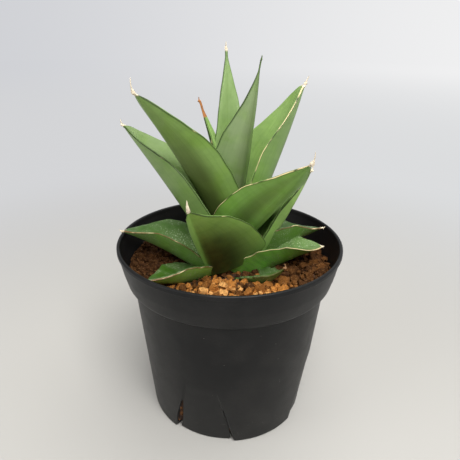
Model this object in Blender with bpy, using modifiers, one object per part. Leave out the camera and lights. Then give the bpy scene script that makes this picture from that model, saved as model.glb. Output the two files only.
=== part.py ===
"""Potted snake plant: a rosette of thick channelled leaves in a slotted plastic nursery pot.

Lengths are in millimetres and angles in degrees until they reach a mesh, which is in metres.
The origin is the centre of the pot's foot, +Z is up and the front of the plant faces -Y.
Bearings are measured from the front (-Y) towards +X.
"""

import math

import bmesh
import bpy
import numpy as np

MM = 0.001
FIT_GAP = 0.45  # clearance between a leaf or the substrate and the neighbour that it is cut to fit

# Pot
RIM_RADIUS = 75.0
POT_HEIGHT = 126.0
FOOT_RADIUS = 56.0
SHOULDER_RADIUS = 65.4  # body radius just under the collar
COLLAR_HEIGHT = 27.0
COLLAR_TAPER = 4.0  # how much narrower the collar is where its lower edge starts to round in
WALL = 1.3
LIP_WIDTH = 2.2
LIP_DEPTH = 3.0
LIP_STEP = 0.8  # how far the lip stands out from the collar
FLOOR = 2.4
FOOT_RING = 1.0  # height of the foot ring under the floor
FOOT_RING_WIDTH = 4.6
FOOT_ROUNDING = 1.2
FLOOR_ROUNDING = 1.5  # inside, between the floor and the wall
EDGE_ROUNDING = 0.7  # on the lip's edges
POT_SECTORS = 4  # one recessed panel in each
COLUMNS = 16  # mesh columns to a sector
PANEL_BEARING = -17.0
PANEL_TOP = 46.0
PANEL_HALF_TOP = 10.0
PANEL_HALF_FOOT = 21.5
PANEL_EDGE = 0.7  # half the width of the step at each side of a panel
PANEL_RECESS = 2.0
RECESS_POWER = 0.6  # a panel leaves the wall fast under its top, then runs nearly straight to the foot
SLIT_TOP = 30.0
SLIT_WIDTH_TOP = 1.0
SLIT_WIDTH_FOOT = 3.0
SLIT_REACH = 14.0  # how far each slit runs in under the floor

# Substrate
FILL_BELOW_RIM = 20.0
WALL_GAP = 0.6  # between the substrate and the pot
MOUND = 1.5  # extra height round the plant
GRAIN_ROUGHNESS = 0.9

# Rhizome
RHIZOME_RADIUS = 12.0
RHIZOME_DEPTH = 25.0
RHIZOME_RISE = 27.0
RHIZOME_SHAPE = ((0.0, 0.45), (0.12, 0.85), (0.35, 1.0), (0.6, 0.85), (0.8, 0.5), (1.0, 0.2))
RHIZOME_SIDES = 16
ROOTS = 6
ROOT_START = 2.0  # distance from the rhizome's axis
ROOT_DEPTH = 0.7  # where the roots leave the rhizome, as a share of its depth
ROOT_BEARING = 15.0
ROOT_RADIUS = 2.6
ROOT_TAPER = 0.6
ROOT_LENGTH = 42.0
ROOT_DIP = 48.0
ROOT_SAG = 6.0
ROOT_SIDES = 8
CROWN_OFFSET = (-2.0, 0.0)

# Leaves
STATIONS = 13
LEAF_BELLY = 0.42  # where along its length a leaf is widest
BASE_SHARE = 0.8  # width at the base as a share of the widest
THICKNESS = 5.0
THINNING = 0.8  # how the thickness follows the width towards the tip
MARGIN_THICKNESS = 0.9
KEEL_POWER = 1.35
TIP_POWER = 1.6  # how late a leaf starts to narrow
TIP_RADIUS = 0.9
SPINE_LENGTH = 5.0
SPINE_RADIUS = 0.45
SPINE_SHARES = (1.02, 1.35, 1.7, 2.0)  # 1 is the tip of the blade and 2 the end of the spine
SPINE_TAPER = 2.3
SPINE_LIFT = 30.0
STEEPEST = 88.0
FLATTEN_FROM = 0.6  # the channel opens out from here to the tip
FLATTEN_BY = 0.55

LEAF_FIELDS = (
    "name", "bearing", "turn", "rise", "rise_end", "length", "half_width", "fold", "fold_base",
    "seat_radius", "seat_height", "fullness", "roll", "twist",
)
# Outermost first. Seat height is above the level of the substrate at the rim.
LEAVES = (
    ("leaf_low_front_right", 42, 10, 9, 63, 48, 11.5, 0.65, 0.9, 13, -11, 1.1, 2, -9),
    ("leaf_low_front_left", -44, -4, 6, 30, 58, 16, 0.85, 0.6, 11, -6, 0.9, 15, 4),
    ("leaf_low_left", -88, -11, 39, 18, 63, 20, 0.8, 0.95, 16, -8, 0.65, -3, 18),
    ("leaf_low_right", 80, 17, 43, 20, 54, 22.5, 0.7, 1.2, 19, -12, 0.8, -4, -1),
    ("leaf_low_back", 100, 15, 30, 14, 62, 18.5, 0.8, 1.15, 14, -4, 0.9, -11, -8),
    ("leaf_front", -21, 14, 61, 46, 77, 29.5, 0.9, 0.8, 24, 3, 1.1, -2, -1),
    ("leaf_right_middle", 44, -4, 53, 51, 105, 21, 0.6, 0.9, 1, 2, 0.8, -15, -11),
    ("leaf_right_behind", 88, -11, 56, 71, 80, 11.5, 0.85, 0.7, 17, -3, 0.9, 7, -6),
    ("leaf_left_lower", -99, -3, 57, 54, 103, 23, 0.9, 1.0, 10, 7, 0.65, 0, 8),
    ("leaf_left_upper", -62, 11, 65, 56, 114, 19.5, 0.85, 0.9, 3, 18, 0.75, 6, 7),
    ("leaf_right_upper", 100, -9, 64, 77, 115, 23.5, 0.9, 0.95, 8, 11, 0.6, 13, -11),
    ("leaf_centre", 43, 0, 82, 78, 120, 15.5, 0.85, 0.95, 5, 16, 1.65, -9, 0),
    ("leaf_back", 179, 12, 85, 76, 120, 10.5, 0.6, 1.0, 4, 20, 1.15, 2, 8),
    ("leaf_inner", -111, -1, 85, 72, 86, 6, 0.6, 1.0, 2, 24, 1.05, 0, 0),
)

# The front leaf is widest near its base, and its left half is narrower than its right. The leaf that
# lies on the rim has a short spine.
LEAF_SHAPES = {
    "leaf_front": {"belly": 0.15, "base_share": 0.58, "left_share": 0.5},
    "leaf_low_left": {"spine": 2.5},
}

# Colours, roughness, metallic
FINISHES = {
    "pot": ((0.018, 0.019, 0.021), 0.5, 0.0),
    "substrate": ((0.22, 0.085, 0.03), 0.95, 0.0),
    "rhizome": ((0.5, 0.42, 0.25), 0.7, 0.0),
    "leaf_upper": ((0.115, 0.24, 0.06), 0.38, 0.0),
    "leaf_lower": ((0.05, 0.15, 0.035), 0.4, 0.0),
}


def direction(bearing):
    """Unit vector on the ground for a bearing."""
    return np.array([math.sin(math.radians(bearing)), -math.cos(math.radians(bearing)), 0.0])


def material(name):
    colour, roughness, metallic = FINISHES[name]
    made = bpy.data.materials.new(name)
    made.use_nodes = True
    shader = made.node_tree.nodes["Principled BSDF"]
    shader.inputs["Base Color"].default_value = (*colour, 1.0)
    shader.inputs["Roughness"].default_value = roughness
    shader.inputs["Metallic"].default_value = metallic
    made.diffuse_color = (*colour, 1.0)
    return made


def add_object(name, points, faces, collection, finish=None):
    """An object from points in millimetres."""
    mesh = bpy.data.meshes.new(name)
    mesh.from_pydata([tuple(float(c) * MM for c in p) for p in points], [], faces)
    mesh.validate()
    shell = bmesh.new()
    shell.from_mesh(mesh)
    bmesh.ops.recalc_face_normals(shell, faces=shell.faces)
    shell.to_mesh(mesh)
    shell.free()
    obj = bpy.data.objects.new(name, mesh)
    collection.objects.link(obj)
    if finish:
        mesh.materials.append(finish)
    if collection.hide_render:
        obj.hide_render = True
        obj.display_type = "WIRE"
    return obj


def loft(rings):
    """Points and faces of a closed skin over rings with the same number of points, capped at both ends."""
    count = len(rings[0])
    faces = [tuple(reversed(range(count)))]
    for row in range(len(rings) - 1):
        first, after = row * count, (row + 1) * count
        for i in range(count):
            j = (i + 1) % count
            faces.append((first + i, first + j, after + j, after + i))
    last = (len(rings) - 1) * count
    faces.append(tuple(range(last, last + count)))
    return [p for ring in rings for p in ring], faces


def settle(obj):
    """Makes the evaluated mesh the object's own, and drops the modifiers."""
    bpy.context.view_layer.update()
    evaluated = obj.evaluated_get(bpy.context.evaluated_depsgraph_get())
    mesh = bpy.data.meshes.new_from_object(evaluated)
    obj.modifiers.clear()
    obj.data = mesh


def boolean(obj, other, operation):
    """Cuts or joins with the manifold solver: a thick folded leaf crosses itself at its seat, and the exact
    solver drops pieces there and where the slits meet the pressed panels."""
    step = obj.modifiers.new(operation.lower() + "_" + other.name, "BOOLEAN")
    step.operation = operation
    step.solver = "MANIFOLD"
    step.object = other
    settle(obj)


def box_of(obj):
    corners = np.array([v.co for v in obj.data.vertices])
    return corners.min(axis=0), corners.max(axis=0)


def near(a, b):
    low_a, high_a = box_of(a)
    low_b, high_b = box_of(b)
    return bool((low_a < high_b).all() and (low_b < high_a).all())


def keep_largest(obj):
    """A cut can leave loose chips: this keeps the piece with the most volume."""
    shell = bmesh.new()
    shell.from_mesh(obj.data)
    shell.faces.ensure_lookup_table()
    unseen, pieces = set(shell.faces), []
    while unseen:
        piece, waiting = set(), [unseen.pop()]
        while waiting:
            face = waiting.pop()
            piece.add(face)
            for edge in face.edges:
                for other in edge.link_faces:
                    if other in unseen:
                        unseen.discard(other)
                        waiting.append(other)
        volume = 0.0
        for face in piece:
            start = face.verts[0].co
            for a, b in zip(face.verts[1:-1], face.verts[2:]):
                volume += start.dot(a.co.cross(b.co))
        pieces.append((volume, piece))
    best = max(pieces, key=lambda found: found[0])[1]
    bmesh.ops.delete(shell, geom=[f for f in shell.faces if f not in best], context="FACES")
    shell.to_mesh(obj.data)
    shell.free()


def smooth_step(value, low, high):
    t = np.clip((value - low) / (high - low), 0.0, 1.0)
    return t * t * (3 - 2 * t)


# Pot: one moulding. A turned wall with a collar and a rolled lip, whose lower part is pressed in at four
# panels, with a tapering slit down each side of every panel and in under the floor.

COLLAR_FOOT = POT_HEIGHT - COLLAR_HEIGHT
LIP_INNER = RIM_RADIUS - LIP_WIDTH
PANEL_HEIGHTS = tuple(PANEL_TOP * share for share in (0.26, 0.52, 0.78))  # rows that shape a panel


def outer_profile():
    """Radius and height of the outside, from the lip down to the foot."""
    under_lip = RIM_RADIUS - LIP_STEP
    round_top = under_lip - COLLAR_TAPER
    bend = round_top - SHOULDER_RADIUS
    return [
        (RIM_RADIUS - EDGE_ROUNDING, POT_HEIGHT),
        (RIM_RADIUS, POT_HEIGHT - LIP_STEP),
        (RIM_RADIUS, POT_HEIGHT - LIP_DEPTH + 0.6),
        (under_lip, POT_HEIGHT - LIP_DEPTH),
        (round_top + 0.45 * COLLAR_TAPER, COLLAR_FOOT + 0.45 * COLLAR_HEIGHT),
        (round_top, COLLAR_FOOT + 0.25 * COLLAR_HEIGHT),
        (round_top - 0.2 * bend, COLLAR_FOOT + 3.4),
        (round_top - 0.55 * bend, COLLAR_FOOT + 1.2),
        (SHOULDER_RADIUS, COLLAR_FOOT),
    ]


def body_radius(height):
    """Outside radius of the straight body under the collar."""
    share = height / COLLAR_FOOT
    return FOOT_RADIUS + (SHOULDER_RADIUS - FOOT_RADIUS) * share


def inner_profile():
    """Radius and height of the inside, from the floor up to the lip."""
    floor = FLOOR + FOOT_RING
    heights = (floor + FLOOR_ROUNDING,) + PANEL_HEIGHTS + (PANEL_TOP,)
    inside = [(body_radius(h) - WALL, h) for h in heights]
    outside = [(r, h) for r, h in outer_profile()[4:8]]
    collar = [(r - WALL, h + 0.5 * WALL) for r, h in reversed(outside)]
    return (
        [(0.0, floor), (0.5 * FOOT_RADIUS, floor)]
        + [(inside[0][0] - FLOOR_ROUNDING, floor)]
        + inside
        + [(SHOULDER_RADIUS - WALL, COLLAR_FOOT)]
        + collar
        + [(LIP_INNER, POT_HEIGHT - LIP_DEPTH), (LIP_INNER, POT_HEIGHT - LIP_STEP)]
        + [(LIP_INNER + EDGE_ROUNDING, POT_HEIGHT)]
    )


def pot_profile():
    heights = (PANEL_TOP + 1.0,) + tuple(reversed(PANEL_HEIGHTS)) + (2 * FOOT_ROUNDING,)
    body = [(body_radius(h), h) for h in heights]
    ring = FOOT_RADIUS - FOOT_RING_WIDTH
    foot = [(FOOT_RADIUS - FOOT_ROUNDING, 0.0), (ring + 0.6, 0.0), (ring, FOOT_RING)]
    under = [(0.5 * FOOT_RADIUS, FOOT_RING), (0.0, FOOT_RING)]
    return outer_profile() + body + foot + under + inner_profile()


def press_panels(points):
    """Gathers the columns of a turned wall on the panel edges, and moves the panels inwards."""
    moved = []
    for x, y, z in points:
        radius = math.hypot(x, y)
        if radius < 1e-6:
            moved.append((0.0, 0.0, z))
            continue
        bearing = math.degrees(math.atan2(x, -y))
        sector = 360.0 / POT_SECTORS
        number = round((bearing - PANEL_BEARING) / sector)
        column = round((bearing - PANEL_BEARING - number * sector) / (sector / COLUMNS))
        share = min(max(z / PANEL_TOP, 0.0), 1.0)
        half = PANEL_HALF_FOOT + (PANEL_HALF_TOP - PANEL_HALF_FOOT) * share
        inner, outer = COLUMNS // 4 - 1, COLUMNS // 4
        if abs(column) <= inner:
            offset = abs(column) / inner * (half - PANEL_EDGE)
        else:
            rest = (abs(column) - outer) / (COLUMNS / 2 - outer)
            offset = half + PANEL_EDGE + rest * (sector / 2 - half - PANEL_EDGE)
        turned = PANEL_BEARING + number * sector + math.copysign(offset, column)
        recess = 0.0
        if abs(column) <= inner and radius > 0.7 * FOOT_RADIUS:
            recess = PANEL_RECESS * (1.0 - share) ** RECESS_POWER
        place = direction(turned) * (radius - recess)
        moved.append((place[0], place[1], z))
    return moved


def turn(name, profile, collection, finish=None):
    """A closed profile turned about Z with the Screw modifier, then pressed at the panels."""
    start = direction(PANEL_BEARING)
    mesh = bpy.data.meshes.new(name)
    count = len(profile)
    edges = [(i, i + 1) for i in range(count - 1) if profile[i][0] or profile[i + 1][0]]
    if profile[0][0]:
        edges.append((count - 1, 0))
    mesh.from_pydata([(start[0] * r * MM, start[1] * r * MM, z * MM) for r, z in profile], edges, [])
    obj = bpy.data.objects.new(name, mesh)
    collection.objects.link(obj)
    screw = obj.modifiers.new("turn", "SCREW")
    screw.angle = math.tau
    screw.steps = screw.render_steps = POT_SECTORS * COLUMNS
    screw.use_merge_vertices = True
    screw.merge_threshold = 0.00001
    settle(obj)
    points = [tuple(c / MM for c in v.co) for v in obj.data.vertices]
    faces = [tuple(p.vertices) for p in obj.data.polygons]
    bpy.data.objects.remove(obj)
    return add_object(name, press_panels(points), faces, collection, finish)


def slit_cutter(collection):
    """Eight wedges, one at each side of every panel."""
    points, faces = [], []
    for sector in range(POT_SECTORS):
        for side in (-1, 1):
            bearing = PANEL_BEARING + sector * 360.0 / POT_SECTORS + side * PANEL_HALF_FOOT
            lean = side * (PANEL_HALF_TOP - PANEL_HALF_FOOT) / PANEL_TOP
            rings = []
            for height, width in ((-2.0, SLIT_WIDTH_FOOT), (SLIT_TOP, SLIT_WIDTH_TOP)):
                along = direction(bearing + lean * max(height, 0.0))
                across = np.array([-along[1], along[0], 0.0])
                near_end, far_end = FOOT_RADIUS - SLIT_REACH, RIM_RADIUS
                ring = [
                    along * near_end - across * width / 2,
                    along * far_end - across * width / 2,
                    along * far_end + across * width / 2,
                    along * near_end + across * width / 2,
                ]
                rings.append([p + np.array([0.0, 0.0, height]) for p in ring])
            start = len(points)
            some, skin = loft(rings)
            points += some
            faces += [tuple(start + i for i in face) for face in skin]
    return add_object("slit_cutter", points, faces, collection)


# Substrate: the grains as one body that fills the pot, clear of the wall, with an uneven mounded top.

FILL_LEVEL = POT_HEIGHT - FILL_BELOW_RIM


def substrate_profile():
    inside = inner_profile()
    floor = FLOOR + FOOT_RING
    side = [(r - WALL_GAP, h + (WALL_GAP if h == floor else 0.0)) for r, h in inside if h < FILL_LEVEL]
    low, high = side[-1], next(p for p in inside if p[1] >= FILL_LEVEL)
    share = (FILL_LEVEL - low[1]) / (high[1] - low[1])
    edge = low[0] + share * (high[0] - WALL_GAP - low[0])
    side[0] = (0.0, floor + WALL_GAP)
    rings = [(edge * k, FILL_LEVEL + MOUND * (1 - k * k)) for k in (0.9, 0.78, 0.66, 0.54, 0.42, 0.28, 0.14)]
    return [(0.0, FILL_LEVEL + MOUND)] + list(reversed(rings)) + [(edge, FILL_LEVEL)] + list(reversed(side))


def roughen(obj, level):
    """Small lumps on the top, the same every time."""
    chance = np.random.default_rng(7)
    for vertex in obj.data.vertices:
        x, y, z = (c / MM for c in vertex.co)
        lump = chance.uniform(-1.0, 1.0) * GRAIN_ROUGHNESS
        if z > level + 0.1 * MOUND:
            vertex.co.z += lump * MM


# Rhizome: the short fleshy stem under the rosette, with its roots.

def rhizome(name, grow, collection, finish=None):
    centre = np.array([*CROWN_OFFSET, 0.0])
    rings = []
    for share, width in RHIZOME_SHAPE:
        height = FILL_LEVEL - RHIZOME_DEPTH + share * (RHIZOME_DEPTH + RHIZOME_RISE)
        height += -grow if share == 0.0 else grow if share == 1.0 else 0.0
        radius = RHIZOME_RADIUS * width + grow
        bearings = [i * 360.0 / RHIZOME_SIDES for i in range(RHIZOME_SIDES)]
        rings.append([centre + direction(bearing) * radius + [0, 0, height] for bearing in bearings])
    stem = add_object(name, *loft(rings), collection, finish)
    dip = math.radians(ROOT_DIP)
    for number in range(ROOTS):
        out = direction(number * 360.0 / ROOTS + ROOT_BEARING)
        along = out * math.cos(dip) + np.array([0.0, 0.0, -math.sin(dip)])
        across = np.cross(along, [0.0, 0.0, 1.0])
        across /= np.linalg.norm(across)
        over = np.cross(along, across)
        start = centre + np.array([0.0, 0.0, FILL_LEVEL - ROOT_DEPTH * RHIZOME_DEPTH]) + out * ROOT_START
        rings = []
        for share in (0.0, 0.35, 0.7, 1.0):
            radius = ROOT_RADIUS * (1 - ROOT_TAPER * share) + grow
            sag = np.array([0.0, 0.0, -ROOT_SAG * share * share])
            middle = start + along * (ROOT_LENGTH * share + (grow if share == 1.0 else 0.0)) + sag
            turns = [math.tau * i / ROOT_SIDES for i in range(ROOT_SIDES)]
            rings.append([middle + radius * (math.cos(t) * across + math.sin(t) * over) for t in turns])
        root = add_object(name + "_root", *loft(rings), collection)
        boolean(stem, root, "UNION")
        bpy.data.objects.remove(root)
    return stem


# Leaves: each one thick piece, channelled above and keeled below, that clasps its neighbours at the base
# and ends in a thin dry spine.

OUTSIDE = (-1.0, -0.8, -0.5, -0.22, 0.0, 0.22, 0.5, 0.8, 1.0)
INSIDE = (0.9, 0.5, 0.0, -0.5, -0.9)


def half_width(leaf, share):
    base = leaf["base_share"]
    swell = base + (1 - base) * math.sin(min(share / leaf["belly"], 1.0) * math.pi / 2)
    if share < leaf["belly"]:
        return leaf["half_width"] * swell
    past = (share - leaf["belly"]) / (1 - leaf["belly"])
    return leaf["half_width"] * max(1 - past**TIP_POWER, 0.0) ** leaf["fullness"]


def leaf_rings(leaf, grow):
    """Cross-sections from the seat to the end of the spine."""
    shares = [i / STATIONS for i in range(STATIONS + 1)]
    point = np.array([*CROWN_OFFSET, FILL_LEVEL + leaf["seat_height"]])
    point = point + direction(leaf["bearing"]) * leaf["seat_radius"]
    rings, before, last = [], 0.0, None
    for share in (*shares, *SPINE_SHARES):
        along = min(share, 1.0)
        bearing = leaf["bearing"] + leaf["turn"] * along
        rise = leaf["rise"] + (leaf["rise_end"] - leaf["rise"]) * along
        if share > 1.0:
            rise = min(rise + SPINE_LIFT * (share - 1.0), STEEPEST)
        ground, up = direction(bearing), np.array([0.0, 0.0, 1.0])
        angle = math.radians(rise)
        ahead = ground * math.cos(angle) + up * math.sin(angle)
        above = up * math.cos(angle) - ground * math.sin(angle)
        across = np.cross(ahead, above)
        if last is not None:
            scale = leaf["spine"] if share > 1.0 else leaf["length"]
            point = point + (ahead + last) / 2 * scale * (share - before)
        before, last = share, ahead
        roll = math.radians(leaf["roll"] + leaf["twist"] * along)
        over = above * math.cos(roll) + across * math.sin(roll)
        side = across * math.cos(roll) - above * math.sin(roll)
        fold = leaf["fold"] + (leaf["fold_base"] - leaf["fold"]) * (1 - along)
        fold *= 1 - FLATTEN_BY * smooth_step(along, FLATTEN_FROM, 1.0)
        width = max(half_width(leaf, along), TIP_RADIUS)
        if share > 1.0:
            width, fold = SPINE_RADIUS * (SPINE_TAPER - share), 0.0
        thick = max(THICKNESS * (width / leaf["half_width"]) ** THINNING, 1.1 * min(width, TIP_RADIUS))
        edge = MARGIN_THICKNESS * min(1.0, width / 4)
        lift = grow * math.hypot(1.0, KEEL_POWER * fold)
        middle = point + ahead * (-grow if share == 0.0 else grow if share == SPINE_SHARES[-1] else 0.0)
        ring = []
        for x, inside in [(x, False) for x in OUTSIDE] + [(x, True) for x in INSIDE]:
            half = width * (leaf["left_share"] if x > 0 else 1.0)
            height, reach = abs(x) ** KEEL_POWER * half * fold, x * half
            if abs(x) == 1.0:
                slope = math.atan(KEEL_POWER * fold)
                height += 2 * grow * math.sin(slope)
                reach += x * 2 * grow * math.cos(slope)
            elif inside:
                height += 0.9 * thick * (1 - x * x) ** 0.7 + edge + lift
            else:
                height -= lift
            ring.append(middle + side * reach + over * height)
        rings.append(ring)
    return rings


def leaf_object(leaf, name, grow, collection, finish=None):
    return add_object(name, *loft(leaf_rings(leaf, grow)), collection, finish)


def main():
    for obj in list(bpy.data.objects):
        bpy.data.objects.remove(obj)
    scene = bpy.context.scene
    parts = bpy.data.collections.new("potted_snake_plant")
    cutters = bpy.data.collections.new("cutters")
    scene.collection.children.link(parts)
    scene.collection.children.link(cutters)
    cutters.hide_render = True
    finishes = {name: material(name) for name in FINISHES}

    pot = turn("pot", pot_profile(), parts, finishes["pot"])
    boolean(pot, slit_cutter(cutters), "DIFFERENCE")
    pot.data.materials.clear()
    pot.data.materials.append(finishes["pot"])

    substrate = turn("substrate", substrate_profile(), parts, finishes["substrate"])
    roughen(substrate, FILL_LEVEL)
    stem = rhizome("rhizome", 0.0, parts, finishes["rhizome"])

    grown = []
    for values in LEAVES:
        leaf = {"belly": LEAF_BELLY, "base_share": BASE_SHARE, "left_share": 1.0, "spine": SPINE_LENGTH}
        leaf.update(zip(LEAF_FIELDS, values))
        leaf.update(LEAF_SHAPES.get(leaf["name"], {}))
        low = leaf["name"].startswith("leaf_low")
        blade = leaf_object(leaf, leaf["name"], 0.0, parts, finishes["leaf_lower" if low else "leaf_upper"])
        for cutter in grown:
            if near(blade, cutter):
                boolean(blade, cutter, "DIFFERENCE")
        keep_largest(blade)
        grown.append(leaf_object(leaf, leaf["name"] + "_cutter", FIT_GAP, cutters))

    for cutter in grown:
        if near(stem, cutter):
            boolean(stem, cutter, "DIFFERENCE")
    keep_largest(stem)
    grown.append(rhizome("rhizome_cutter", FIT_GAP, cutters))
    for cutter in grown:
        if near(substrate, cutter):
            boolean(substrate, cutter, "DIFFERENCE")
    keep_largest(substrate)


main()
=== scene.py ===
"""Looks of the potted snake plant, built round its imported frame.

Sizes are in millimetres and angles in degrees. Materials count in metres, as Blender does.
"""

import math
import random
from functools import partial

import bpy
import numpy as np
from mathutils import Euler, Matrix, Vector, noise
from mathutils.bvhtree import BVHTree


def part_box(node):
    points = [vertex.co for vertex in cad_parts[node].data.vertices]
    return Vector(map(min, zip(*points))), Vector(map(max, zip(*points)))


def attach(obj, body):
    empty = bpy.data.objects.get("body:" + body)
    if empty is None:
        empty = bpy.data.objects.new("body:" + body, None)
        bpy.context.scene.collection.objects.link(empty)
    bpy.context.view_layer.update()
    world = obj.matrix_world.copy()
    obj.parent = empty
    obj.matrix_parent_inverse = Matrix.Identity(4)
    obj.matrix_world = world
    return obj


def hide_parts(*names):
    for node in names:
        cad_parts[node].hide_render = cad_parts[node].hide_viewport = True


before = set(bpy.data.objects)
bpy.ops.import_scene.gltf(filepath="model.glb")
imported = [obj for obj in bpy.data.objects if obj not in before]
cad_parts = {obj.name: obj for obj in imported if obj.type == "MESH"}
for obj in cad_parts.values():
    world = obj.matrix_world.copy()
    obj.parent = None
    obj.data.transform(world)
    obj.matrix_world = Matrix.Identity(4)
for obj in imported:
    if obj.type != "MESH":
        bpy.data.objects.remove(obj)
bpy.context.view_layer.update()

# ---------------------------------------------------------------------------------------------------
# Pot
# One thin moulding in black plastic, with a tapered body, a collar under a rolled lip and a foot ring.
# Four panels are pressed in at the foot, and a tapering slit drains each side of every panel.

MM = 0.001
pot_low, pot_high = (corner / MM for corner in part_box("pot"))
RIM_RADIUS = (pot_high.x - pot_low.x) / 2
POT_HEIGHT = pot_high.z
FOOT_RADIUS = 56.0
FOOT_RING_INSIDE = 52.0
SHOULDER_RADIUS = 65.4
COLLAR_HEIGHT = 27.0
WALL = 1.3
FLOOR = 3.4
FOOT_RING = 1.0
PANELS = 4
PANEL_BEARING = -17.0
PANEL_TOP = 46.0
PANEL_HALF_TOP = 10.0
PANEL_HALF_FOOT = 21.5
PANEL_EDGE = 0.7
PANEL_RECESS = 2.0
SLIT_TOP = 30.0
SLIT_WIDTH_TOP = 1.0
SLIT_WIDTH_FOOT = 3.0
SLIT_REACH = 14.0
OVERCUT = 2.0  # of the slits, below the foot
POT_COLUMNS = 72  # to a panel's sector
COLUMN_STOPS = (0, 20, 24, POT_COLUMNS // 2)  # a panel's middle, the two sides of its edge, the sector's end
LONGEST_ROW = 3.0
ARC_STEPS = 6
WELD = 0.002


def direction(bearing):
    """Unit vectors on the ground, for bearings measured from the front towards +X."""
    turned = np.radians(np.asarray(bearing, float))
    return np.stack([np.sin(turned), -np.cos(turned), np.zeros_like(turned)], axis=-1)


def smooth_step(value, low, high):
    share = np.clip((value - low) / (high - low), 0.0, 1.0)
    return share * share * (3 - 2 * share)


def rounded(corners):
    """Points of an outline through corners (radius, height, rounding), with long straights divided."""
    points = []
    for number, (r, z, rounding) in enumerate(corners):
        here = np.array([r, z], float)
        if rounding == 0.0:
            points.append(here)
            continue
        before = np.array(corners[number - 1][:2], float) - here
        after = np.array(corners[number + 1][:2], float) - here
        before /= np.linalg.norm(before)
        after /= np.linalg.norm(after)
        half = math.acos(np.clip(before @ after, -1, 1)) / 2
        run = rounding / math.tan(half)
        middle = (before + after) / np.linalg.norm(before + after)
        centre = here + middle * rounding / math.sin(half)
        for step in np.linspace(0, 1, ARC_STEPS):
            arm = (here + before * run - centre) * (1 - step) + (here + after * run - centre) * step
            points.append(centre + arm / np.linalg.norm(arm) * rounding)
    divided = [points[0]]
    for a, b in zip(points, points[1:]):
        parts = max(1, math.ceil(np.linalg.norm(b - a) / LONGEST_ROW))
        divided += [a + (b - a) * (i + 1) / parts for i in range(parts)]
    return np.array(divided)


def edit_all(*steps):
    """Runs edit-mode steps on the whole mesh of the active piece."""
    bpy.ops.object.mode_set(mode="EDIT")
    bpy.ops.mesh.select_all(action="SELECT")
    for step in steps:
        step()
    bpy.ops.object.mode_set(mode="OBJECT")


def wrapped_grid(name, columns, rows, place):
    """A flat grid rolled up: place gives points in millimetres for shares around and along."""
    bpy.ops.object.select_all(action="DESELECT")
    bpy.ops.mesh.primitive_grid_add(x_subdivisions=columns, y_subdivisions=rows, size=1.0, calc_uvs=True)
    piece = bpy.context.object
    piece.name = piece.data.name = name
    flat = np.empty(len(piece.data.vertices) * 3, np.float32)
    piece.data.vertices.foreach_get("co", flat)
    flat = flat.reshape(-1, 3).astype(float)
    points, values = place(flat[:, 0] + 0.5, flat[:, 1] + 0.5)
    piece.data.vertices.foreach_set("co", (points * MM).astype(np.float32).ravel())
    for key, value in values.items():
        piece.data.attributes.new(key, "FLOAT", "POINT").data.foreach_set("value", value.astype(np.float32))
    edit_all(
        lambda: bpy.ops.mesh.remove_doubles(threshold=WELD * MM),
        lambda: bpy.ops.mesh.normals_make_consistent(inside=False),
    )
    return piece


def cut(piece, cutter):
    """Takes one closed mesh out of another."""
    bpy.context.view_layer.objects.active = piece
    step = piece.modifiers.new("cut", "BOOLEAN")
    step.operation = "DIFFERENCE"
    step.solver = "MANIFOLD"
    step.object = cutter
    bpy.ops.object.modifier_apply(modifier=step.name)


def smooth(piece, angle):
    bpy.ops.object.select_all(action="DESELECT")
    piece.select_set(True)
    bpy.context.view_layer.objects.active = piece
    bpy.ops.object.shade_smooth_by_angle(angle=math.radians(angle))


def finish_with(piece, material):
    piece.data.materials.clear()
    piece.data.materials.append(material)


collar_foot = POT_HEIGHT - COLLAR_HEIGHT
pot_outline = rounded([
    (0.0, FOOT_RING, 0.0),
    (FOOT_RING_INSIDE - 0.8, FOOT_RING, 0.5),
    (FOOT_RING_INSIDE, 0.0, 0.4),
    (FOOT_RADIUS, 0.0, 1.2),
    (SHOULDER_RADIUS, collar_foot, 0.8),
    (69.3, collar_foot + 2.2, 4.5),
    (71.9, collar_foot + 12.0, 30.0),
    (RIM_RADIUS - 0.7, POT_HEIGHT - 3.1, 0.3),
    (RIM_RADIUS, POT_HEIGHT - 2.9, 0.35),
    (RIM_RADIUS, POT_HEIGHT, 1.0),
    (RIM_RADIUS - 2.2, POT_HEIGHT, 1.0),
    (RIM_RADIUS - 2.4, POT_HEIGHT - 3.4, 0.8),
    (70.5, collar_foot + 12.2, 30.0),
    (67.7, collar_foot + 3.0, 4.0),
    (SHOULDER_RADIUS - WALL, collar_foot - 0.4, 1.2),
    (FOOT_RADIUS - WALL + 0.3, FLOOR, 1.5),
    (0.0, FLOOR, 0.0),
])


def place_pot(around, along):
    """Turns the outline, with each panel pressed in towards its foot."""
    rows = len(pot_outline) - 1
    outline = pot_outline[np.rint(along * rows).astype(int)]
    sector = 360.0 / PANELS
    column = around * PANELS * POT_COLUMNS
    number = np.round(column / POT_COLUMNS)
    column = column - number * POT_COLUMNS
    height = outline[:, 1]
    share = np.clip(height / PANEL_TOP, 0.0, 1.0)
    half = PANEL_HALF_FOOT + (PANEL_HALF_TOP - PANEL_HALF_FOOT) * share
    offset = np.interp(np.abs(column), COLUMN_STOPS, [0.0, 1.0, 2.0, 3.0])
    inner = np.clip(offset, 0, 1) * (half - PANEL_EDGE)
    across = np.clip(offset - 1, 0, 1) * 2 * PANEL_EDGE
    outer = np.clip(offset - 2, 0, 1) * (sector / 2 - half - PANEL_EDGE)
    turned = PANEL_BEARING + number * sector + np.sign(column) * (inner + across + outer)
    recess = PANEL_RECESS * (1 - share) ** 0.6 * (1 - smooth_step(offset, 1.0, 2.0))
    radius = outline[:, 0] - recess * smooth_step(outline[:, 0], 0.5 * FOOT_RADIUS, 0.7 * FOOT_RADIUS)
    points = direction(turned) * np.maximum(radius, 0.0)[:, None]
    points[:, 2] = height
    return points, {}


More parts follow.
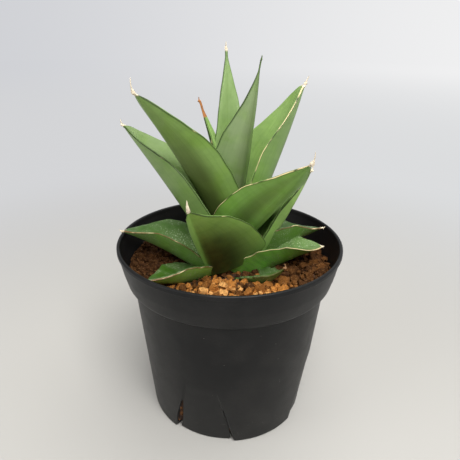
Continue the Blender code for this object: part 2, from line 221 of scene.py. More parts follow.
pot = wrapped_grid("pot_moulding", PANELS * POT_COLUMNS, len(pot_outline) - 1, place_pot)
for number in range(2 * PANELS):
    side = 1 if number % 2 else -1
    foot_bearing = PANEL_BEARING + number // 2 * 360.0 / PANELS + side * PANEL_HALF_FOOT
    lean = side * (PANEL_HALF_TOP - PANEL_HALF_FOOT) * SLIT_TOP / PANEL_TOP
    bpy.ops.object.select_all(action="DESELECT")
    bpy.ops.mesh.primitive_cube_add(size=1.0)
    slit = bpy.context.object
    for corner in slit.data.vertices:
        upper = corner.co.z > 0
        along = direction(foot_bearing + lean * upper)
        across = np.array([-along[1], along[0], 0.0])
        reach = RIM_RADIUS if corner.co.x > 0 else FOOT_RADIUS - SLIT_REACH
        width = SLIT_WIDTH_TOP if upper else SLIT_WIDTH_FOOT
        place = along * reach + across * width * corner.co.y
        corner.co = Vector(place) * MM
        corner.co.z = (SLIT_TOP if upper else -OVERCUT) * MM
    cut(pot, slit)
    bpy.data.objects.remove(slit)
smooth(pot, 32)


def add_node(tree, kind, inputs=None, **settings):
    made = tree.nodes.new(kind)
    for name, value in settings.items():
        setattr(made, name, value)
    for name, value in (inputs or {}).items():
        if isinstance(value, bpy.types.NodeSocket):
            tree.links.new(value, made.inputs[name])
        else:
            made.inputs[name].default_value = value
    return made


def calc(tree, operation, a, b=0.0, c=0.0):
    return add_node(tree, "ShaderNodeMath", {0: a, 1: b, 2: c}, operation=operation).outputs[0]


def ramp(tree, value, low, high, start=0.0, end=1.0):
    """A soft step from start to end as value goes from low to high."""
    limits = {0: value, 1: low, 2: high, 3: start, 4: end}
    return add_node(tree, "ShaderNodeMapRange", limits, interpolation_type="SMOOTHSTEP").outputs[0]


def own_place(tree):
    """Where a point lies in its piece's own space."""
    return add_node(tree, "ShaderNodeTexCoord").outputs["Object"]


def flat_place(tree, x, y):
    return add_node(tree, "ShaderNodeCombineXYZ", {0: x, 1: y}).outputs[0]


def noise_of(tree, vector, scale, detail=3.0, rough=0.55):
    made = add_node(
        tree, "ShaderNodeTexNoise", {"Vector": vector, "Scale": scale, "Detail": detail, "Roughness": rough}
    )
    return made.outputs[0]


def mix_colour(tree, factor, a, b, blend="MIX"):
    made = add_node(tree, "ShaderNodeMix", {0: factor, 6: a, 7: b}, data_type="RGBA", blend_type=blend)
    return made.outputs[2]


def principled(name, roughness=0.5):
    material = bpy.data.materials.new(name)
    material.use_nodes = True
    shader = material.node_tree.nodes["Principled BSDF"]
    shader.inputs["Roughness"].default_value = roughness
    return material, material.node_tree, shader


COLOUR, VALUE, VECTOR = "NodeSocketColor", "NodeSocketFloat", "NodeSocketVector"


def group_with(name, inputs, outputs):
    """An empty shader node group. Inputs are (name, default) and outputs (name, kind)."""
    tree = bpy.data.node_groups.new(name, "ShaderNodeTree")
    for key, value in inputs:
        kind = {3: VECTOR, 4: COLOUR}[len(value)] if isinstance(value, tuple) else VALUE
        tree.interface.new_socket(key, in_out="INPUT", socket_type=kind).default_value = value
    for key, kind in outputs:
        tree.interface.new_socket(key, in_out="OUTPUT", socket_type=kind)
    return tree, tree.nodes.new("NodeGroupInput").outputs, tree.nodes.new("NodeGroupOutput").inputs


def bump(tree, shader, height, distance, strength=1.0):
    made = add_node(tree, "ShaderNodeBump", {"Height": height, "Distance": distance, "Strength": strength})
    tree.links.new(made.outputs[0], shader.inputs["Normal"])


# Dust: pale specks and a thin film, gathered in patches.
DUST_FILM = 0.04
DUST_SPECKS = 0.5
dust, given, result = group_with(
    "dust", [("Colour", (0.0, 0.0, 0.0, 1.0))], [("Colour", COLOUR), ("Mask", VALUE)]
)
where = own_place(dust)
patches = ramp(dust, noise_of(dust, where, 38.0, 4.0), 0.42, 0.7)
film = calc(dust, "MULTIPLY", patches, DUST_FILM)
film = calc(dust, "MULTIPLY", film, noise_of(dust, where, 900.0, 2.0))
cells = add_node(dust, "ShaderNodeTexVoronoi", {"Vector": where, "Scale": 420.0, "Randomness": 1.0})
speck = ramp(dust, cells.outputs["Distance"], 0.05, 0.12, 1.0, 0.0)
picked = add_node(dust, "ShaderNodeSeparateColor", {0: cells.outputs["Color"]}).outputs[0]
chosen = ramp(dust, picked, 0.88, 0.9)
speck = calc(dust, "MULTIPLY", calc(dust, "MULTIPLY", speck, chosen), DUST_SPECKS)
dusty = calc(dust, "MAXIMUM", film, speck)
dust.links.new(mix_colour(dust, dusty, given["Colour"], (0.3, 0.28, 0.25, 1.0)), result["Colour"])
dust.links.new(dusty, result["Mask"])

black_plastic, tree, shader = principled("black_plastic")
where = own_place(tree)
height = add_node(tree, "ShaderNodeSeparateXYZ", {0: where}).outputs["Z"]
cloud = noise_of(tree, where, 55.0, 3.0)
plastic = mix_colour(tree, cloud, (0.0055, 0.0056, 0.0058, 1.0), (0.009, 0.009, 0.0092, 1.0))
# The plastic is mixed lighter towards the foot.
lighter_towards_foot = ramp(tree, height, 0.0, 0.07, 0.6, 0.0)
plastic = mix_colour(tree, lighter_towards_foot, plastic, (0.021, 0.0205, 0.0195, 1.0))
squashed = add_node(tree, "ShaderNodeMapping", {"Vector": where, "Scale": (1.0, 1.0, 7.0)}).outputs[0]
scuffs = ramp(tree, noise_of(tree, squashed, 210.0, 5.0, 0.7), 0.6, 0.72)
low_down = ramp(tree, height, 0.0, 0.028, 1.0, 0.0)
scuffs = calc(tree, "MULTIPLY", scuffs, calc(tree, "MULTIPLY_ADD", low_down, 0.5, 0.05))
plastic = mix_colour(tree, scuffs, plastic, (0.13, 0.125, 0.115, 1.0))
dusted = add_node(tree, "ShaderNodeGroup", node_tree=dust)
tree.links.new(plastic, dusted.inputs["Colour"])
shader.inputs["Specular IOR Level"].default_value = 0.2
tree.links.new(dusted.outputs["Colour"], shader.inputs["Base Color"])
worn = calc(tree, "MULTIPLY_ADD", noise_of(tree, where, 130.0, 4.0), 0.16, 0.36)
tree.links.new(calc(tree, "MULTIPLY_ADD", dusted.outputs["Mask"], 0.3, worn), shader.inputs["Roughness"])
bump(tree, shader, noise_of(tree, where, 1500.0, 3.0, 0.6), 0.00005, 0.5)
finish_with(pot, black_plastic)
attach(pot, "root")
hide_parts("pot")

# ---------------------------------------------------------------------------------------------------
# Substrate
# Fired-clay grains poured round the plant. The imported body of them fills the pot. Loose grains of about
# three to seven millimetres lie over it, in two layers towards the rim, and others press against the slits.

FILL_BELOW_RIM = 20.0
MOUND = 1.5
THICKNESS = 5.0  # of a leaf
GRAIN_SHAPES = 14
SMALLEST, LARGEST = 1.4, 3.7  # half sizes
LAYERS = ((1500, 0.3), (900, 2.6))  # grains wanted, and how far they lie above the fill
UPPER_LAYER_FROM = 0.5  # share of the radius
UPPER_LAYER_CLEAR = 5.0  # of the leaves
TRIES = 14  # for each grain wanted
CLOSENESS = 0.86  # of two grains' half sizes
BED_RADIUS = 68.4  # inside the collar, at the fill
# Tone of the grains in painted shade, and the extra tone of painted light on the open front.
SHADED_GRAIN_TONE, LIT_GRAIN_TONE = 0.12, 0.85
SLIT_GRAINS = 90
fill_level = POT_HEIGHT - FILL_BELOW_RIM
chance = random.Random(11)


def grain_shape(number):
    """A worn lump: a divided cube pulled towards a sphere and knocked out of round."""
    bpy.ops.object.select_all(action="DESELECT")
    bpy.ops.mesh.primitive_cube_add(size=2.0)
    lump = bpy.context.object
    edit_all(lambda: bpy.ops.mesh.subdivide(number_cuts=1))
    for point in lump.data.vertices:
        round_place = point.co.normalized()
        place = round_place.lerp(point.co * 0.75, 0.5)
        dent = noise.noise(round_place * 1.1 + Vector((number * 7.3, 2.1, number * 3.7)))
        point.co = place * (1.0 + 0.55 * dent)
    return lump


def add_grain(shape, place, size, tone, grains):
    spin = Euler([chance.uniform(0, math.tau) for _ in range(3)]).to_matrix().to_4x4()
    stretch = Matrix.Diagonal([size * MM * chance.uniform(0.8, 1.15) for _ in range(3)] + [1.0])
    copy = shape.copy()
    copy.data = shape.data.copy()
    copy.data.transform(Matrix.Translation(Vector(place) * MM) @ spin @ stretch)
    count = len(copy.data.vertices)
    copy.data.attributes.new("tone", "FLOAT", "POINT").data.foreach_set("value", [tone] * count)
    bpy.context.collection.objects.link(copy)
    grains.append(copy)


def join(name, pieces):
    bpy.ops.object.select_all(action="DESELECT")
    for piece in pieces:
        piece.select_set(True)
    bpy.context.view_layer.objects.active = pieces[0]
    bpy.ops.object.join()
    joined = bpy.context.object
    joined.name = joined.data.name = name
    return joined


leaf_trees = []
for name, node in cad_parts.items():
    if name.startswith("leaf"):
        faces = [tuple(p.vertices) for p in node.data.polygons]
        leaf_trees.append(BVHTree.FromPolygons([v.co for v in node.data.vertices], faces))


def leaf_distance(place):
    """Distance to the nearest leaf in millimetres, negative inside one."""
    nearest = math.inf
    at = Vector(place) * MM
    for tree in leaf_trees:
        found, normal, _, away = tree.find_nearest(at)
        inside = (at - found).dot(normal) < 0 and away < THICKNESS / 2 * MM
        nearest = min(nearest, -away / MM if inside else away / MM)
    return nearest


shapes = [grain_shape(number) for number in range(GRAIN_SHAPES)]
grains = []
laid = {}
CELL = 2 * LARGEST


def room_for(x, y, size, layer):
    """Whether a grain fits beside those of its layer, and if so books its place."""
    cell = (layer, int(x // CELL), int(y // CELL))
    for i in (-1, 0, 1):
        for j in (-1, 0, 1):
            for other in laid.get((layer, cell[1] + i, cell[2] + j), []):
                if math.hypot(x - other[0], y - other[1]) < CLOSENESS * (size + other[2]):
                    return False
    laid.setdefault(cell, []).append((x, y, size))
    return True


for layer, (wanted, lift) in enumerate(LAYERS):
    for attempt in range(wanted * TRIES):
        size = SMALLEST + (LARGEST - SMALLEST) * chance.random() ** (1.6 + 1.2 * attempt / wanted / TRIES)
        tone = chance.random()
        reach = BED_RADIUS - 0.7 * size
        radius, bearing = reach * math.sqrt(chance.random()), chance.uniform(0, 360)
        x, y, _ = direction(bearing) * radius
        share = radius / reach
        if layer and share < UPPER_LAYER_FROM:
            continue
        swell = noise.noise(Vector((x, y, layer * 9.0)) * 0.06)
        z = fill_level + MOUND * (1 - share * share) + lift + 1.2 * swell + chance.uniform(-0.4, 0.4)
        clear = UPPER_LAYER_CLEAR if layer else 0.6 * size
        if leaf_distance((x, y, z)) < clear or not room_for(x, y, size, layer):
            continue
        # Painted light and shade: grains are painted lighter towards the open front, and darker towards the
        # left, where the leaves and the wall shade them.
        dry_tip_and_lit_front = float(smooth_step((-y - 0.5 * abs(x)) / reach, 0.0, 0.5))
        shaded_tone = SHADED_GRAIN_TONE + 0.06 * x / reach
        add_grain(chance.choice(shapes), (x, y, z), size, tone * (shaded_tone + LIT_GRAIN_TONE * dry_tip_and_lit_front), grains)
loose_grains = join("loose_grains", grains)

grains = []
for number in range(SLIT_GRAINS):
    side = 1 if number % 2 else -1
    height = chance.uniform(FLOOR + 1.5, SLIT_TOP)
    lean = side * (PANEL_HALF_FOOT + (PANEL_HALF_TOP - PANEL_HALF_FOOT) * height / PANEL_TOP)
    bearing = PANEL_BEARING + number // 2 % PANELS * 360.0 / PANELS + lean + chance.uniform(-2.0, 2.0)
    size = chance.uniform(1.0, 2.2)
    inside = FOOT_RADIUS + (SHOULDER_RADIUS - FOOT_RADIUS) * height / collar_foot - WALL - PANEL_RECESS
    x, y, _ = direction(bearing) * (inside - 1.05 * size)
    add_grain(chance.choice(shapes), (x, y, height), size, 0.3 * chance.random(), grains)
slit_grains = join("slit_grains", grains)
for shape in shapes:
    bpy.data.objects.remove(shape)

fired_clay, tree, shader = principled("fired_clay", 0.93)
where = own_place(tree)
tone = add_node(tree, "ShaderNodeAttribute", attribute_name="tone").outputs["Fac"]
clay = mix_colour(tree, ramp(tree, tone, 0.0, 0.55), (0.036, 0.014, 0.004, 1.0), (0.54, 0.21, 0.04, 1.0))
clay = mix_colour(tree, ramp(tree, tone, 0.55, 1.0), clay, (0.8, 0.41, 0.13, 1.0))
grit = noise_of(tree, where, 900.0, 5.0, 0.7)
clay = mix_colour(tree, ramp(tree, grit, 0.35, 0.62, 0.55, 0.0), clay, (0.09, 0.032, 0.01, 1.0))
flecks = ramp(tree, noise_of(tree, where, 2600.0, 2.0), 0.6, 0.75)
clay = mix_colour(tree, flecks, clay, (0.52, 0.27, 0.1, 1.0))
tree.links.new(clay, shader.inputs["Base Color"])
shader.inputs["Specular IOR Level"].default_value = 0.15
bump(tree, shader, grit, 0.0009, 0.8)
for piece in (loose_grains, slit_grains):
    smooth(piece, 38)
    finish_with(piece, fired_clay)
    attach(piece, "root")

packed_clay, tree, shader = principled("packed_clay", 0.95)
where = own_place(tree)
cells = add_node(tree, "ShaderNodeTexVoronoi", {"Vector": where, "Scale": 240.0})
# Painted shade: the packed clay is darker in the gaps between its lumps.
lump = ramp(tree, cells.outputs["Distance"], 0.1, 0.7, 1.0, 0.0)
clay = mix_colour(tree, lump, (0.035, 0.014, 0.005, 1.0), (0.2, 0.08, 0.022, 1.0))
tree.links.new(clay, shader.inputs["Base Color"])
bump(tree, shader, lump, 0.0015)
finish_with(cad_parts["substrate"], packed_clay)

# ---------------------------------------------------------------------------------------------------
# Rhizome
# The short fleshy stem that carries the leaves, with a few thick roots, all under the grains.

rhizome_skin, tree, shader = principled("rhizome_skin", 0.7)
where = own_place(tree)
rings = add_node(
    tree, "ShaderNodeTexWave", {"Vector": where, "Scale": 60.0, "Distortion": 6.0}, bands_direction="Z"
)
skin = mix_colour(tree, rings.outputs["Fac"], (0.42, 0.3, 0.15, 1.0), (0.6, 0.5, 0.3, 1.0))
tree.links.new(skin, shader.inputs["Base Color"])
bump(tree, shader, rings.outputs["Fac"], 0.0003)
finish_with(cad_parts["rhizome"], rhizome_skin)

# ---------------------------------------------------------------------------------------------------
# Leaves
# Fourteen thick leaves in a low rosette. Each clasps the next at its base, is channelled above and keeled
# below, has a thin horny margin, and ends in a dry spine. Leaves run into each other inside the crown.

CROWN = (-2.0, 0.0)
BLADE_ROWS = 104
SPINE_ROWS = 26
LEAF_ROWS = BLADE_ROWS + SPINE_ROWS
LEAF_COLUMNS = 72
MARGIN_THICKNESS = 0.9
KEEL_POWER = 0.675  # of the squared distance from the keel
KEEL_SOFTNESS = 0.006
MARGIN_SLOPE = 2 * KEEL_POWER  # of the section at its margin, as a share of the fold
TIP_FLATTENING = 0.55
SPINE_HALF_WIDTH = 0.32
KNOB_AT = 0.12  # along the spine
LEAF_FIELDS = (
    "name", "bearing", "turn", "rise", "rise_end", "length", "half_width", "fold", "fold_base",
    "seat_radius", "seat_height", "fullness", "roll", "twist",
)
LEAVES = (
    ("leaf_low_front_right", 42, 10, 9, 63, 48, 11.5, 0.65, 0.9, 13, -11, 1.1, 2, -9),
    ("leaf_low_front_left", -44, -4, 6, 30, 58, 16, 0.85, 0.6, 11, -6, 0.9, 15, 4),
    ("leaf_low_left", -88, -11, 39, 18, 63, 20, 0.8, 0.95, 16, -8, 0.65, -3, 18),
    ("leaf_low_right", 80, 17, 43, 20, 54, 22.5, 0.7, 1.2, 19, -12, 0.8, -4, -1),
    ("leaf_low_back", 100, 15, 30, 14, 62, 18.5, 0.8, 1.15, 14, -4, 0.9, -11, -8),
    ("leaf_front", -21, 14, 61, 46, 77, 29.5, 0.9, 0.8, 24, 3, 1.1, -2, -1),
    ("leaf_right_middle", 44, -4, 53, 51, 105, 21, 0.6, 0.9, 1, 2, 0.8, -15, -11),
    ("leaf_right_behind", 88, -11, 56, 71, 80, 11.5, 0.85, 0.7, 17, -3, 0.9, 7, -6),
    ("leaf_left_lower", -99, -3, 57, 54, 103, 23, 0.9, 1.0, 10, 7, 0.65, 0, 8),
    ("leaf_left_upper", -62, 11, 65, 56, 114, 19.5, 0.85, 0.9, 3, 18, 0.75, 6, 7),
    ("leaf_right_upper", 100, -9, 64, 77, 115, 23.5, 0.9, 0.95, 8, 11, 0.6, 13, -11),
    ("leaf_centre", 43, 0, 82, 78, 120, 15.5, 0.85, 0.95, 5, 16, 1.65, -9, 0),
    ("leaf_back", 179, 12, 85, 76, 120, 10.5, 0.6, 1.0, 4, 20, 1.15, 2, 8),
    ("leaf_inner", -111, -1, 85, 72, 86, 6, 0.6, 1.0, 2, 24, 1.05, 0, 0),
)
# The belly is the widest place, as a share of the length. Curl and swing bend the dry spine, the knob is the
# swelling at its foot, and tuck narrows the left half near the base.
LEAF_SHAPE = {
    "belly": 0.42, "base_share": 0.8, "left_share": 1.0, "tuck": 0.0, "ripple": 0.2, "tip": 0.9,
    "spine": 5.0, "curl": 20.0, "swing": 0.0, "knob": 0.2, "knob_size": 0.75,
}
OWN_SHAPE = {
    "leaf_front": {
        "belly": 0.15, "base_share": 0.58, "left_share": 0.5, "spine": 7.5, "curl": 55.0,
        "knob": 0.6, "knob_size": 1.0,
    },
    "leaf_low_left": {"spine": 3.0},
    "leaf_left_upper": {"spine": 9.0, "curl": 45.0, "swing": 40.0},
    "leaf_left_lower": {"spine": 4.5, "curl": 40.0},
    "leaf_back": {"spine": 4.0, "knob_size": 0.45},
    "leaf_right_middle": {"spine": 8.0, "curl": 50.0, "fullness": 0.95, "knob_size": 1.0},
    "leaf_right_upper": {"spine": 5.5, "curl": -20.0, "swing": 20.0, "tuck": 0.6},
    "leaf_centre": {"spine": 2.5, "curl": 0.0, "knob_size": 0.2, "tip": 0.5},
    "leaf_inner": {"spine": 3.0},
    "leaf_low_right": {"spine": 1.5, "ripple": 0.6},
    "leaf_low_back": {"spine": 2.5, "ripple": 0.5},
    "leaf_low_front_left": {"spine": 1.5, "ripple": 0.4},
    "leaf_low_front_right": {"spine": 3.5, "curl": 80.0, "ripple": 0.6},
}
# The keel's dark stripe is painted shade and painted dark reflection, over some of the leaf's own darker
# green.
# The face is the outer, keeled side, and the channel the upper one. The keel's dark stripe lies at Keel At
# and spreads by Keel Left and Keel Right, in half widths. Keel To and Dry From are shares of the length.
LEAF_TONE = {
    "Face": (0.2, 0.34, 0.07, 1.0), "Channel": (0.25, 0.4, 0.1, 1.0),
    "Keel": (0.06, 0.08, 0.02, 1.0), "Keel Amount": 0.35,
    "Keel At": 0.0, "Keel Left": 0.5, "Keel Right": 0.5, "Keel To": 1.0,
    "Bloom": 0.15, "Speckle": 0.0, "Bands": 0.35,
    "Margin": (0.03, 0.05, 0.012, 1.0), "Cream": 0.12,
    "Dry From": 0.985, "Dry": (0.85, 0.74, 0.55, 1.0),
}
LOW = {
    "Face": (0.15, 0.3, 0.045, 1.0), "Channel": (0.048, 0.118, 0.012, 1.0), "Speckle": 0.65,
    "Dry From": 0.97, "Margin": (0.2, 0.1, 0.04, 1.0), "Cream": 0.25,
}
NEVER = 3.0
OWN_TONE = {
    "leaf_low_front_right": {
        **LOW, "Face": (0.1, 0.22, 0.03, 1.0), "Dry": (0.3, 0.17, 0.08, 1.0), "Cream": 0.12,
        "Margin": (0.09, 0.1, 0.025, 1.0),
    },
    "leaf_low_front_left": {**LOW, "Face": (0.27, 0.58, 0.08, 1.0)},
    "leaf_low_left": {**LOW, "Face": (0.22, 0.42, 0.08, 1.0)},
    "leaf_low_right": {
        **LOW, "Face": (0.26, 0.64, 0.08, 1.0), "Channel": (0.11, 0.21, 0.045, 1.0), "Bands": 0.75,
        "Cream": 0.5,
    },
    "leaf_low_back": {**LOW, "Channel": (0.03, 0.075, 0.006, 1.0)},
    "leaf_front": {
        "Face": (0.28, 0.48, 0.09, 1.0), "Keel": (0.012, 0.018, 0.004, 1.0), "Keel Amount": 0.97,
        "Keel At": -0.15, "Keel Left": 0.42, "Keel Right": 1.3, "Keel To": 0.92, "Bloom": 0.1,
        "Cream": 0.15,
    },
    "leaf_right_middle": {
        "Face": (0.2, 0.38, 0.065, 1.0), "Keel Amount": 0.75, "Keel At": 0.42, "Keel Left": 0.4,
        "Keel Right": 0.3, "Cream": 0.36,
    },
    "leaf_right_behind": {"Face": (0.36, 0.58, 0.14, 1.0)},
    "leaf_left_upper": {
        "Face": (0.205, 0.34, 0.068, 1.0), "Keel Amount": 0.95, "Keel At": -0.35, "Keel Left": 1.4,
    },
    "leaf_left_lower": {"Channel": (0.16, 0.25, 0.07, 1.0), "Bloom": 0.2},
    "leaf_right_upper": {"Face": (0.22, 0.37, 0.08, 1.0), "Cream": 0.35},
    "leaf_back": {"Channel": (0.21, 0.32, 0.1, 1.0)},
    "leaf_centre": {
        "Face": (0.25, 0.36, 0.13, 1.0), "Keel Amount": 0.5, "Bloom": 0.45, "Cream": 0.0,
        "Dry From": NEVER,
    },
    "leaf_inner": {"Dry": (0.4, 0.16, 0.05, 1.0), "Dry From": 0.88},
}


def leaf_path(leaf, shares):
    """Points, side and over vectors of a leaf's middle line, from its seat to the end of its spine."""
    blade, past = np.minimum(shares, 1.0), np.maximum(shares - 1.0, 0.0)
    bearing = leaf["bearing"] + leaf["turn"] * blade + leaf["swing"] * past
    angle = np.radians(leaf["rise"] + (leaf["rise_end"] - leaf["rise"]) * blade + leaf["curl"] * past)
    ground = direction(bearing)
    up = np.array([0.0, 0.0, 1.0])
    ahead = ground * np.cos(angle)[:, None] + up * np.sin(angle)[:, None]
    above = up * np.cos(angle)[:, None] - ground * np.sin(angle)[:, None]
    across = np.cross(ahead, above)
    scale = np.where(shares[1:] > 1.0, leaf["spine"], leaf["length"])
    steps = (ahead[1:] + ahead[:-1]) / 2 * (scale * np.diff(shares))[:, None]
    seat = np.array([*CROWN, fill_level + leaf["seat_height"]])
    seat = seat + direction(leaf["bearing"]) * leaf["seat_radius"]
    points = seat + np.concatenate([np.zeros((1, 3)), np.cumsum(steps, axis=0)])
    roll = np.radians(leaf["roll"] + leaf["twist"] * blade)[:, None]
    over = above * np.cos(roll) + across * np.sin(roll)
    side = across * np.cos(roll) - above * np.sin(roll)
    return points, side, over


def leaf_half_width(leaf, share):
    """Widens from the base to the belly and closes towards the tip."""
    base, belly = leaf["base_share"], leaf["belly"]
    swell = base + (1 - base) * np.sin(np.minimum(share / belly, 1.0) * math.pi / 2)
    past = np.clip((share - belly) / (1 - belly), 0.0, 1.0)
    return leaf["half_width"] * np.where(share < belly, swell, (1 - past**1.6) ** leaf["fullness"])


def place_leaf(leaf, around, along):
    """Rolls the grid round a leaf: its keeled outside first, then its channel."""
    row = np.rint(along * LEAF_ROWS).astype(int)
    steps = np.arange(LEAF_ROWS + 1)
    shares = np.where(steps <= BLADE_ROWS, steps / BLADE_ROWS, 1 + (steps - BLADE_ROWS) / SPINE_ROWS)
    points, side, over = leaf_path(leaf, shares)
    share = shares[row]
    blade, past = np.minimum(share, 1.0), np.maximum(share - 1.0, 0.0)
    turn = math.tau * around
    x, bulge = np.cos(turn), np.abs(np.sin(turn))
    inside = around > 0.5
    width = leaf_half_width(leaf, blade)
    wave = np.sin(share * 23 + leaf["bearing"]) + 0.6 * np.sin(share * 51 + x)
    ripple = leaf["ripple"] * wave * np.minimum(width / 8, 1.0) * np.abs(x) ** 6
    width = np.maximum(width + ripple, leaf["tip"])
    thread = SPINE_HALF_WIDTH + leaf["knob_size"] * np.exp(-((past - KNOB_AT) / leaf["knob"]) ** 2)
    width = np.where(past > 0, thread * np.sqrt(1 - past**4), width)
    fold = leaf["fold"] + (leaf["fold_base"] - leaf["fold"]) * (1 - blade)
    fold = fold * (1 - TIP_FLATTENING * smooth_step(blade, 0.6, 1.0))
    tuck = 1 - leaf["tuck"] * (1 - smooth_step(share, 0.2, 0.45))
    half = width * np.where(x > 0, leaf["left_share"] * tuck, 1.0)
    keel = (x * x + KEEL_SOFTNESS) ** KEEL_POWER * half * fold
    thick = np.maximum(THICKNESS * (width / leaf["half_width"]) ** 0.8, 1.1 * np.minimum(width, leaf["tip"]))
    edge = MARGIN_THICKNESS * np.minimum(1.0, width / 4) * np.minimum(1.0, 4 * bulge)
    flesh = 0.9 * thick * bulge**1.4 + edge
    height = keel + np.where(inside, flesh, 0.0)
    tube = smooth_step(share, 0.98, 1.02)
    height = height * (1 - tube) + tube * np.where(inside, 1.0, -1.0) * bulge * width
    place = points[row] + side[row] * (x * half)[:, None] + over[row] * height[:, None]
    place[row == 0] = points[0] + over[0] * (0.5 * THICKNESS)
    margin = half * (1 - np.abs(x)) * np.hypot(1.0, MARGIN_SLOPE * fold)
    values = {"across": x, "along": share, "edge": margin, "inside": inside.astype(float)}
    return place, values


# Leaf skin: streaks along, bands across, grey bloom, a dark keel stripe (painted shade and painted dark
# reflection, over some real darker green), pale specks, a horny margin and a dry tip.
leaf_skin, given, result = group_with(
    "leaf_skin", LEAF_TONE.items(), [("Colour", COLOUR), ("Roughness", VALUE), ("Height", VALUE)]
)
tree = leaf_skin
where = own_place(tree)
across, along, edge, inside = (
    add_node(tree, "ShaderNodeAttribute", attribute_name=key).outputs["Fac"]
    for key in ("across", "along", "edge", "inside")
)
lengthwise = flat_place(tree, calc(tree, "MULTIPLY", across, 7.0), along)
streaks = noise_of(tree, lengthwise, 2.4, 4.0)
crosswise = flat_place(tree, across, calc(tree, "MULTIPLY", along, 11.0))
bands = ramp(tree, noise_of(tree, crosswise, 1.3, 4.0), 0.4, 0.62)
cloud = noise_of(tree, where, 75.0, 3.0)
fine = noise_of(tree, where, 1600.0, 3.0)
skin = mix_colour(tree, inside, given["Face"], given["Channel"])
deeper = mix_colour(tree, 1.0, skin, (0.62, 0.7, 0.55, 1.0), "MULTIPLY")
skin = mix_colour(tree, calc(tree, "MULTIPLY", bands, given["Bands"]), skin, deeper)
skin = mix_colour(tree, ramp(tree, streaks, 0.45, 0.7, 0.0, 0.35), skin, deeper)
bloom = calc(tree, "MULTIPLY", ramp(tree, cloud, 0.3, 0.6), given["Bloom"])
skin = mix_colour(tree, bloom, skin, (0.3, 0.36, 0.22, 1.0))
# Painted shade: a dark stripe along the keel, where the outside turns away from the light and reflects the
# dark room in front.
outside = calc(tree, "SUBTRACT", 1.0, inside)
leftward = calc(tree, "DIVIDE", calc(tree, "SUBTRACT", across, given["Keel At"]), given["Keel Left"])
rightward = calc(tree, "DIVIDE", calc(tree, "SUBTRACT", given["Keel At"], across), given["Keel Right"])
keel = ramp(tree, calc(tree, "MAXIMUM", leftward, rightward), 0.1, 1.0, 1.0, 0.0)
fading = ramp(tree, calc(tree, "DIVIDE", along, given["Keel To"]), 0.35, 1.0, 1.0, 0.2)
keel = calc(tree, "MULTIPLY", keel, fading)
keel = calc(tree, "MULTIPLY", keel, ramp(tree, cloud, 0.3, 0.6, 0.92, 1.0))
keel = calc(tree, "MULTIPLY", calc(tree, "MULTIPLY", keel, outside), given["Keel Amount"])
skin = mix_colour(tree, keel, skin, given["Keel"])
spots = ramp(tree, noise_of(tree, where, 1100.0, 2.0), 0.56, 0.68)
spots = calc(tree, "MULTIPLY", calc(tree, "MULTIPLY", spots, ramp(tree, cloud, 0.38, 0.55)), given["Speckle"])
skin = mix_colour(tree, spots, skin, (0.5, 0.55, 0.38, 1.0))
under = calc(tree, "MULTIPLY", ramp(tree, edge, 0.12, 0.3), ramp(tree, edge, 0.4, 0.9, 1.0, 0.0))
skin = mix_colour(tree, calc(tree, "MULTIPLY", under, 0.6), skin, (0.04, 0.09, 0.015, 1.0))
patchy = noise_of(tree, flat_place(tree, across, along), 9.0, 3.0)
cream = ramp(tree, calc(tree, "ADD", patchy, given["Cream"]), 0.72, 0.9)
horn = mix_colour(tree, cream, given["Margin"], (0.7, 0.55, 0.3, 1.0))
rim = ramp(tree, edge, 0.05, 0.2, 1.0, 0.0)
skin = mix_colour(tree, rim, skin, horn)
dryness = calc(tree, "ADD", along, calc(tree, "MULTIPLY_ADD", cloud, 0.04, -0.02))
dry_tip_and_lit_front = ramp(tree, calc(tree, "SUBTRACT", dryness, given["Dry From"]), 0.0, 0.012)
brown = mix_colour(tree, ramp(tree, fine, 0.4, 0.7, 0.0, 0.5), given["Dry"], (0.16, 0.07, 0.03, 1.0))
skin = mix_colour(tree, dry_tip_and_lit_front, skin, brown)
tree.links.new(skin, result["Colour"])
rough = calc(tree, "MULTIPLY_ADD", cloud, 0.14, 0.36)
rough = calc(tree, "MULTIPLY_ADD", calc(tree, "MAXIMUM", dry_tip_and_lit_front, spots), 0.4, rough)
tree.links.new(rough, result["Roughness"])
relief = calc(tree, "MULTIPLY_ADD", streaks, 0.5, calc(tree, "MULTIPLY", fine, 0.1))
tree.links.new(calc(tree, "MULTIPLY_ADD", cloud, 0.5, relief), result["Height"])

for fields in LEAVES:
    leaf = {**LEAF_SHAPE, **dict(zip(LEAF_FIELDS, fields))}
    leaf.update(OWN_SHAPE.get(leaf["name"], {}))
    blade = wrapped_grid(leaf["name"] + "_grown", LEAF_COLUMNS, LEAF_ROWS, partial(place_leaf, leaf))
    smooth(blade, 60)
    material, tree, shader = principled(leaf["name"] + "_skin")
    skin = add_node(tree, "ShaderNodeGroup", node_tree=leaf_skin)
    for key, setting in {**LEAF_TONE, **OWN_TONE.get(leaf["name"], {})}.items():
        skin.inputs[key].default_value = setting
    tree.links.new(skin.outputs["Colour"], shader.inputs["Base Color"])
    tree.links.new(skin.outputs["Roughness"], shader.inputs["Roughness"])
    shader.inputs["Specular IOR Level"].default_value = 0.24
    bump(tree, shader, skin.outputs["Height"], 0.0004, 0.6)
    finish_with(blade, material)
    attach(blade, "root")
    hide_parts(leaf["name"])

# ---------------------------------------------------------------------------------------------------
# Studio
# A pale floor that fades into a pale surround, broad soft light from above and behind, and the camera.

FLOOR_RADIUS = 4000.0
FLOOR_DROP = 0.05
LIGHT_AIM = (0, 0, 120)
LIGHTS = (  # name, place, size and power
    ("overhead", (250, 150, 1100), 800, 4.5),
    ("front", (200, -650, 1100), 600, 15.0),
    ("left", (-800, -350, 450), 500, 2.4),
)
CAMERA_PLACE = (0.0, -0.27953, 0.25533)  # metres
CAMERA_TILT, CAMERA_ROLL = 66.121, 0.777
CAMERA_LENS, CAMERA_SENSOR = 35.61, 36.0

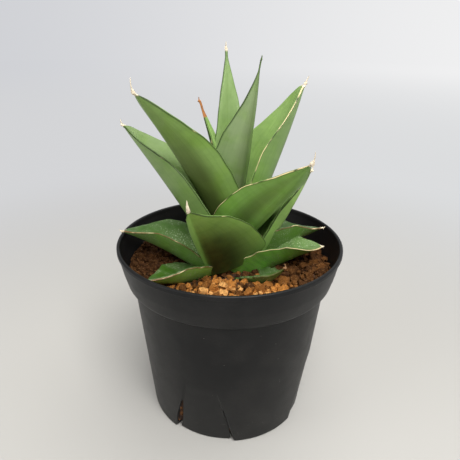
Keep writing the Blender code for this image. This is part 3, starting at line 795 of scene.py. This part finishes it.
# The surround is a little brighter to the right, and the far floor pales into it.
backdrop, given, result = group_with(
    "backdrop", [("Toward", (0.0, 0.0, 0.0)), ("Far", 1.0)], [("Colour", COLOUR)]
)
toward = add_node(backdrop, "ShaderNodeVectorMath", {0: given["Toward"]}, operation="NORMALIZE")
rightward = add_node(backdrop, "ShaderNodeSeparateXYZ", {0: toward.outputs["Vector"]}).outputs["X"]
paler = ramp(backdrop, rightward, -0.6, 0.6)
near = mix_colour(backdrop, paler, (0.655, 0.66, 0.675, 1.0), (0.71, 0.72, 0.73, 1.0))
far = mix_colour(backdrop, paler, (0.62, 0.63, 0.66, 1.0), (0.88, 0.88, 0.885, 1.0))
backdrop.links.new(mix_colour(backdrop, given["Far"], near, far), result["Colour"])

bpy.ops.object.select_all(action="DESELECT")
bpy.ops.mesh.primitive_circle_add(vertices=96, radius=FLOOR_RADIUS * MM, fill_type="NGON")
floor = bpy.context.object
floor.name = "floor"
floor.data.transform(Matrix.Translation((0.0, 0.0, -FLOOR_DROP * MM)))
paper, tree, shader = principled("pale_floor", 0.7)
shader.inputs["Base Color"].default_value = (0.465, 0.452, 0.422, 1.0)
shader.inputs["Specular IOR Level"].default_value = 0.2
where = own_place(tree)
away = add_node(tree, "ShaderNodeVectorMath", {0: where}, operation="LENGTH").outputs["Value"]
paling = add_node(tree, "ShaderNodeGroup", node_tree=backdrop)
tree.links.new(where, paling.inputs["Toward"])
tree.links.new(ramp(tree, away, 0.6, 3.5), paling.inputs["Far"])
glow = add_node(tree, "ShaderNodeEmission", {"Color": paling.outputs["Colour"]})
fade = add_node(tree, "ShaderNodeMixShader", {0: ramp(tree, away, 0.12, 0.62)})
tree.links.new(shader.outputs[0], fade.inputs[1])
tree.links.new(glow.outputs[0], fade.inputs[2])
tree.links.new(fade.outputs[0], tree.nodes["Material Output"].inputs["Surface"])
finish_with(floor, paper)

surround = bpy.data.worlds.new("surround")
bpy.context.scene.world = surround
surround.use_nodes = True
tree = surround.node_tree
heading = add_node(tree, "ShaderNodeTexCoord").outputs["Generated"]
toward = add_node(tree, "ShaderNodeSeparateXYZ", {0: heading})
paling = add_node(tree, "ShaderNodeGroup", node_tree=backdrop)
tree.links.new(heading, paling.inputs["Toward"])
behind = ramp(tree, toward.outputs["Y"], -0.8, 0.1)
overhead = ramp(tree, toward.outputs["Z"], 0.2, 0.9)
light = mix_colour(tree, behind, (0.32, 0.32, 0.31, 1.0), (0.6, 0.61, 0.63, 1.0))
light = mix_colour(tree, overhead, light, (0.6, 0.6, 0.6, 1.0))
dimmer = ramp(tree, toward.outputs["X"], -0.9, 0.0, 0.8, 0.0)
light = mix_colour(tree, dimmer, light, (0.15, 0.15, 0.155, 1.0))
seen = add_node(tree, "ShaderNodeLightPath").outputs["Is Camera Ray"]
shown = mix_colour(tree, seen, light, paling.outputs["Colour"])
tree.links.new(shown, tree.nodes["Background"].inputs["Color"])

for name, place, size, power in LIGHTS:
    bpy.ops.object.light_add(type="AREA", location=Vector(place) * MM)
    lamp = bpy.context.object
    lamp.name = name
    lamp.data.size = size * MM
    lamp.data.energy = power
    lamp.rotation_euler = (Vector(LIGHT_AIM) - Vector(place)).to_track_quat("-Z", "Y").to_euler()

bpy.ops.object.camera_add()
camera = bpy.context.object
camera.matrix_world = (
    Matrix.Translation(CAMERA_PLACE)
    @ Matrix.Rotation(math.radians(CAMERA_TILT), 4, "X")
    @ Matrix.Rotation(math.radians(CAMERA_ROLL), 4, "Z")
)
camera.data.lens = CAMERA_LENS
camera.data.sensor_width = CAMERA_SENSOR
camera.data.clip_start = 0.01
bpy.context.scene.camera = camera
bpy.context.scene.view_settings.view_transform = "Standard"
